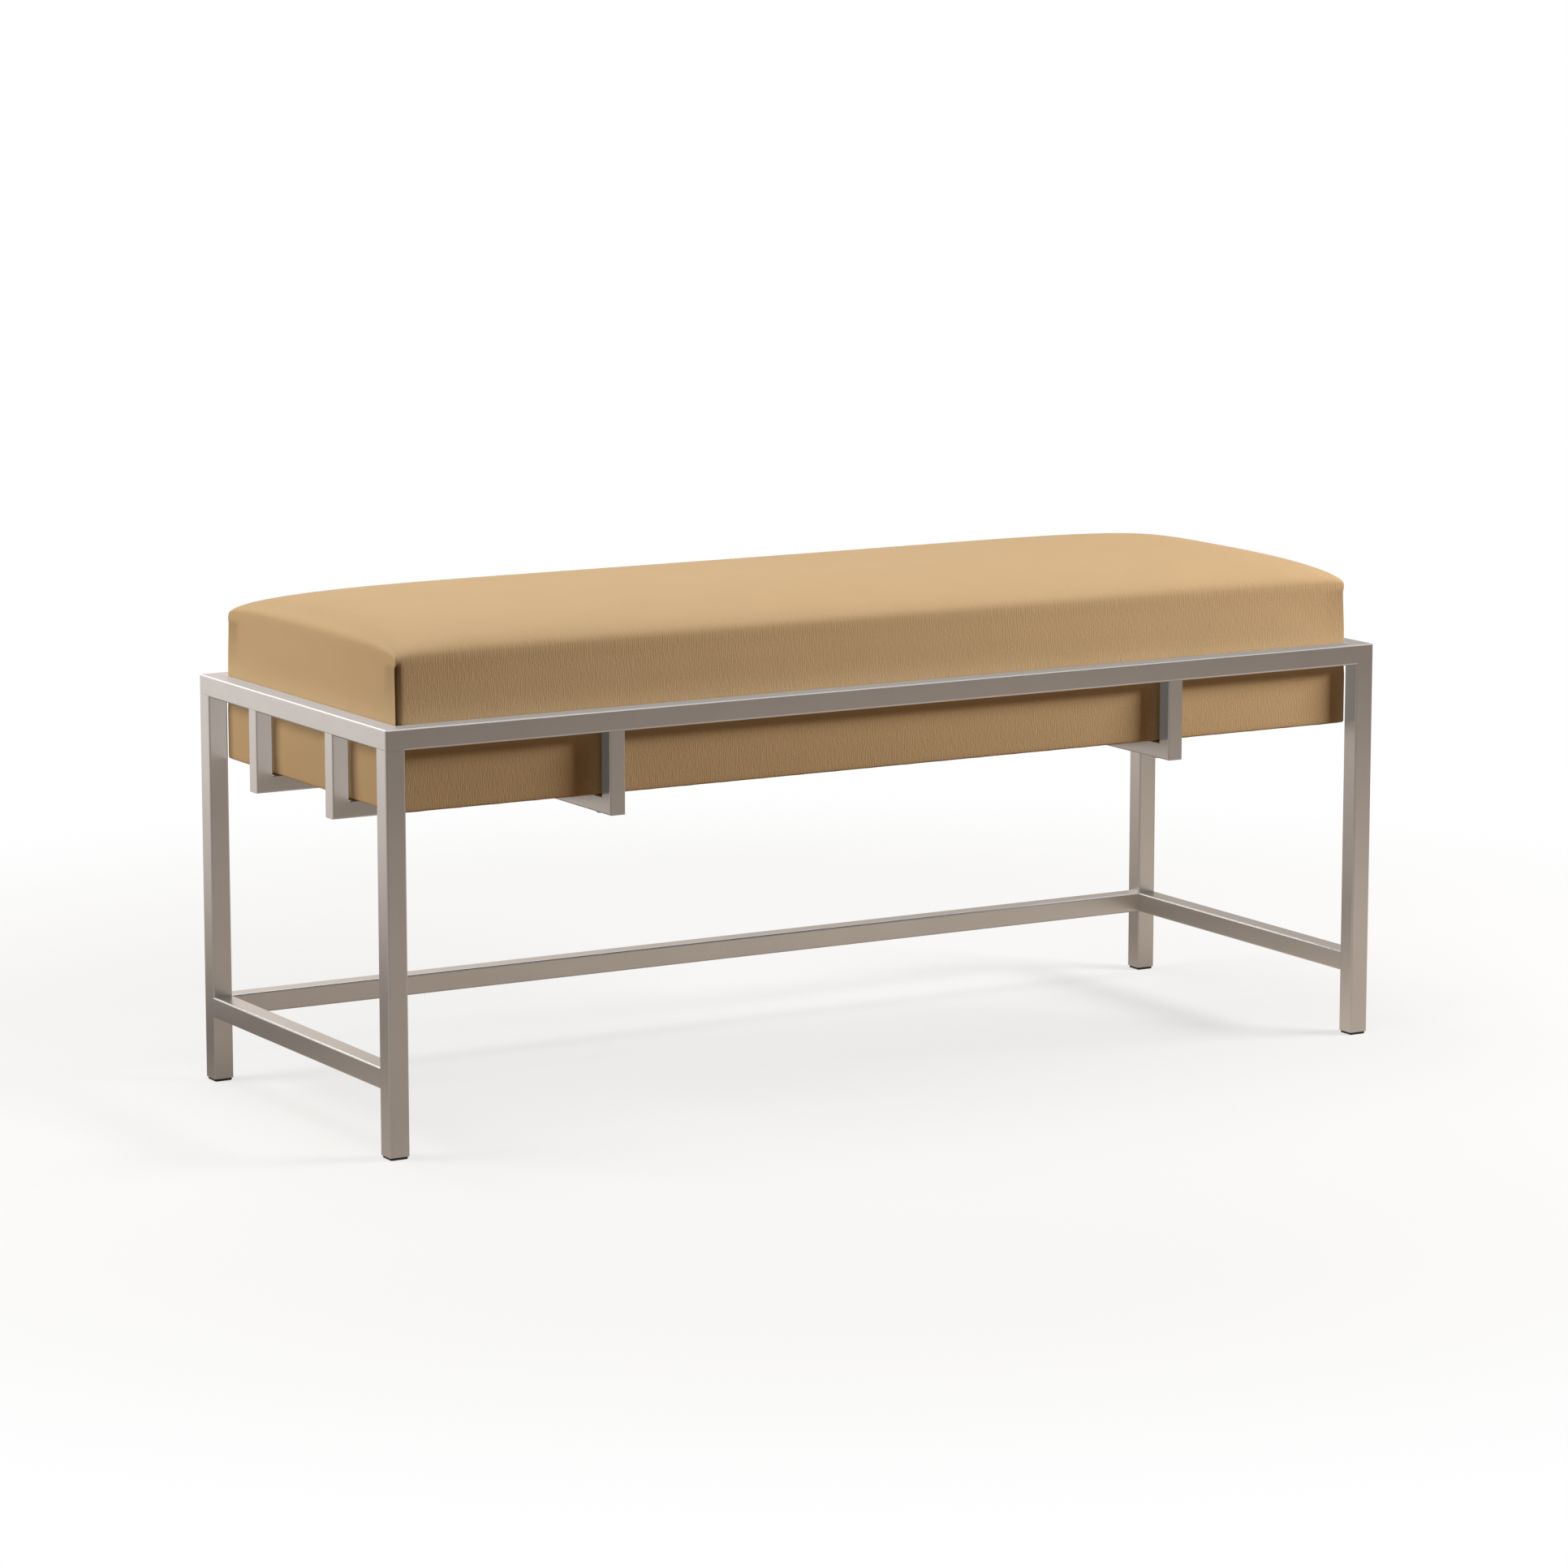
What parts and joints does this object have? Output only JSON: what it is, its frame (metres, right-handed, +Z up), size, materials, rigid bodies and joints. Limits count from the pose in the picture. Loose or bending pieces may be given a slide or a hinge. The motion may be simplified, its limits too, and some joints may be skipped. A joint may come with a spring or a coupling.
{
  "type": "upholstered bench",
  "caption": "Long upholstered bench: a welded square-tube steel frame with an open front carries a deep box seat with a crowned top in hanging cradles.",
  "frame": {"origin": "on the floor, under the middle of the bench", "axes": "+X along the length to the viewer's right, +Y from the open front to the back, +Z up"},
  "size_m": [1.2, 0.44, 0.5363],
  "materials": {
    "satin_nickel_steel": "satin",
    "glide_nylon": "matte",
    "pine": "matte",
    "plywood": "matte",
    "seat_foam": "matte",
    "polyester_wadding": "matte",
    "seat_fabric": "matte",
    "dust_cloth": "matte",
    "zinc_screw": "satin"
  },
  "bodies": {
    "root": {"back_hanger_left": "satin_nickel_steel", "back_hanger_right": "satin_nickel_steel", "box_rail_back": "pine", "box_rail_front": "pine", "box_rail_left": "pine", "box_rail_right": "pine", "corner_block_back_left": "pine", "corner_block_back_right": "pine", "corner_block_front_left": "pine", "corner_block_front_right": "pine", "cradle_bar_back": "satin_nickel_steel", "cradle_bar_front": "satin_nickel_steel", "cradle_cross_left_back": "satin_nickel_steel", "cradle_cross_left_front": "satin_nickel_steel", "cradle_cross_left_middle": "satin_nickel_steel", "cradle_cross_right_back": "satin_nickel_steel", "cradle_cross_right_front": "satin_nickel_steel", "cradle_cross_right_middle": "satin_nickel_steel", "deck_batten_left": "pine", "deck_batten_right": "pine", "dust_cover": "dust_cloth", "foam_block": "seat_foam", "front_hanger_left": "satin_nickel_steel", "front_hanger_right": "satin_nickel_steel", "glide_back_left": "glide_nylon", "glide_back_right": "glide_nylon", "glide_front_left": "glide_nylon", "glide_front_right": "glide_nylon", "left_hanger_back": "satin_nickel_steel", "left_hanger_front": "satin_nickel_steel", "leg_back_left": "satin_nickel_steel", "leg_back_right": "satin_nickel_steel", "leg_front_left": "satin_nickel_steel", "leg_front_right": "satin_nickel_steel", "right_hanger_back": "satin_nickel_steel", "right_hanger_front": "satin_nickel_steel", "seat_cover": "seat_fabric", "seat_deck": "plywood", "seat_screws": "zinc_screw", "stretcher_back": "satin_nickel_steel", "stretcher_left": "satin_nickel_steel", "stretcher_right": "satin_nickel_steel", "top_rail_back": "satin_nickel_steel", "top_rail_front": "satin_nickel_steel", "top_rail_left": "satin_nickel_steel", "top_rail_right": "satin_nickel_steel", "wadding": "polyester_wadding"}
  },
  "joints": []
}
